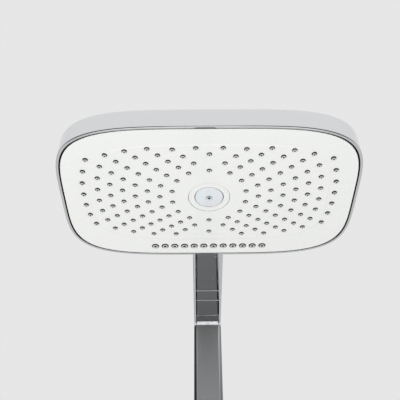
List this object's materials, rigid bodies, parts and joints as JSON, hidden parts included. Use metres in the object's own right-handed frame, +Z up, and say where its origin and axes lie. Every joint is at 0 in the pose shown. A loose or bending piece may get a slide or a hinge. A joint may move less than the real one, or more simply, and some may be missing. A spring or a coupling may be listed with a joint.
{
  "type": "rainfall shower column",
  "caption": "Wall-hung shower column with a wide soft-cornered rain head on a square arm, central select button, rear jet row and thermostatic bar valve.",
  "frame": {"origin": "centre of the wall bracket's back face, on the wall plane", "axes": "+Z up along the column, +Y into the wall, X to the right facing the wall; the head reaches towards -Y"},
  "size_m": [0.302, 0.4622, 1.2193],
  "materials": {
    "chrome": "polished",
    "satin_metal": "satin",
    "white_gloss": "gloss white",
    "silicone": "soft grey silicone",
    "clear_button": "pale blue-grey translucent",
    "dark_plastic": "satin black",
    "white_plastic": "natural moulded",
    "brass": "machined",
    "steel": "plain stainless",
    "rubber": "black seal"
  },
  "bodies": {
    "column": {"arm_tube": "chrome", "arm_end_cap": "chrome", "arm_collar": "chrome", "arm_elbow": "chrome", "wall_bracket": "chrome", "valve_body": "chrome", "hose_outlet": "chrome", "escutcheon_left": "chrome", "escutcheon_right": "chrome", "union_nut_left": "chrome", "union_nut_right": "chrome", "column_tube": "satin_metal", "thermostat_cartridge": "white_plastic", "flow_cartridge": "white_plastic", "arm_pipe": "white_plastic", "check_valve": "dark_plastic", "arm_outlet": "brass", "riser_pipe": "brass", "riser_nut": "brass", "wall_union_left": "brass", "wall_union_right": "brass", "elbow_screw": "steel", "bracket_plate": "steel", "bracket_screw_1": "steel", "bracket_screw_2": "steel", "bracket_grub_screw": "steel", "filter_left": "steel", "filter_right": "steel", "stud_seal": "rubber", "riser_seal": "rubber"},
    "ball_stud": {"ball_stud": "chrome", "flow_limiter": "dark_plastic"},
    "head": {"head_housing": "chrome", "spray_face": "white_gloss", "nozzle_mat": "silicone", "jet_strip": "silicone", "jet_manifold": "white_plastic", "spray_chamber": "white_plastic", "chamber_seal": "rubber", "diverter_cartridge": "white_plastic", "button_spring": "steel", "button_bezel": "white_gloss", "ball_socket": "dark_plastic", "ball_nut": "chrome", "face_screw_1": "steel", "face_screw_2": "steel", "face_screw_3": "steel", "face_screw_4": "steel"},
    "button": {"select_button": "clear_button", "centre_nozzle": "silicone"},
    "temperature_knob": {"temperature_knob": "chrome", "temperature_knob_screw": "steel", "safety_spring": "steel"},
    "safety_button": {"safety_button": "dark_plastic"},
    "flow_knob": {"flow_knob": "chrome", "flow_knob_screw": "steel"}
  },
  "joints": [
    {"name": "head_swivel", "type": "hinge", "parent": "column", "child": "ball_stud", "pos_m": [0, -0.367, 0.048], "axis": [0, 0, 1], "range_deg": [-15, 15]},
    {"name": "head_tilt", "type": "hinge", "parent": "ball_stud", "child": "head", "pos_m": [0, -0.367, 0.048], "axis": [1, 0, 0], "range_deg": [-8, 8]},
    {"name": "button_press", "type": "slide", "parent": "head", "child": "button", "axis": [0, 0, 1], "range_m": [0, 0.003], "stiffness_N_per_m": 900, "springref_m": -0.002, "deforming": ["button_spring"]},
    {"name": "temperature_turn", "type": "hinge", "parent": "column", "child": "temperature_knob", "pos_m": [-0.128, -0.055, -1.1], "axis": [-1, 0, 0], "range_deg": [-150, 50]},
    {"name": "safety_press", "type": "slide", "parent": "temperature_knob", "child": "safety_button", "axis": [0, 0, -1], "range_m": [0, 0.0025], "stiffness_N_per_m": 700, "springref_m": -0.002, "deforming": ["safety_spring"]},
    {"name": "flow_turn", "type": "hinge", "parent": "column", "child": "flow_knob", "pos_m": [0.128, -0.055, -1.1], "axis": [1, 0, 0], "range_deg": [-90, 90]}
  ]
}
